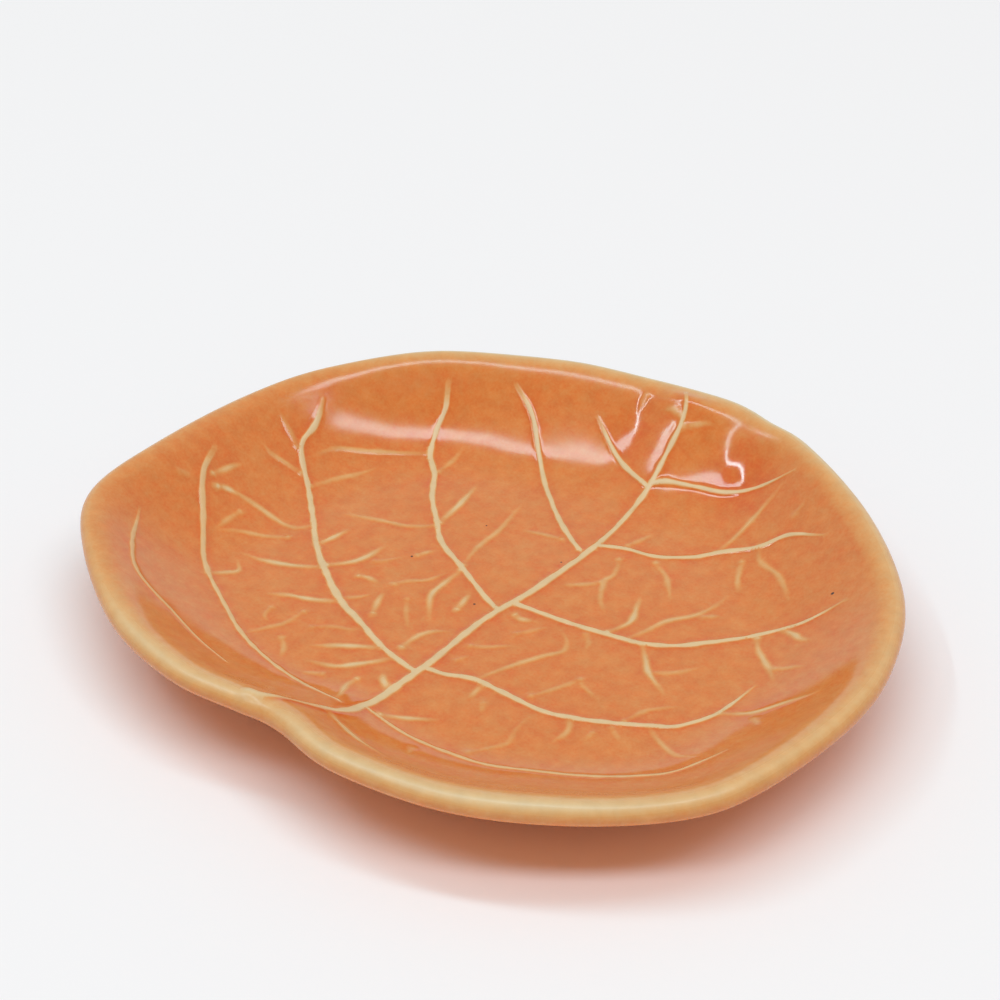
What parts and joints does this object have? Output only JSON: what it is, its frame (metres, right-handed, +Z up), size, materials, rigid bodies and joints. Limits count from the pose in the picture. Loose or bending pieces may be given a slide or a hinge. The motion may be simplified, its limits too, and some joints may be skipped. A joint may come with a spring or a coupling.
{
  "type": "cabbage leaf plate",
  "caption": "Shallow leaf-shaped stoneware plate with raised ribs, a rounded wavy rim notched at the stem, a foot ring and an orange glaze.",
  "frame": {"origin": "under the middle of the plate, on the surface it stands on", "axes": "+Z up out of the well, +Y along the midrib from the stem notch to the leaf's tip, +X across the leaf to the right"},
  "size_m": [0.1799, 0.1599, 0.0226],
  "materials": {
    "clay": "pale fired stoneware, satin",
    "glaze": "clear orange gloss that breaks pale over edges and pools darker in hollows"
  },
  "bodies": {
    "root": {"leaf_body": "clay", "foot_ring": "clay", "inner_glaze": "glaze", "outer_glaze": "glaze", "base_glaze": "glaze"}
  },
  "joints": []
}
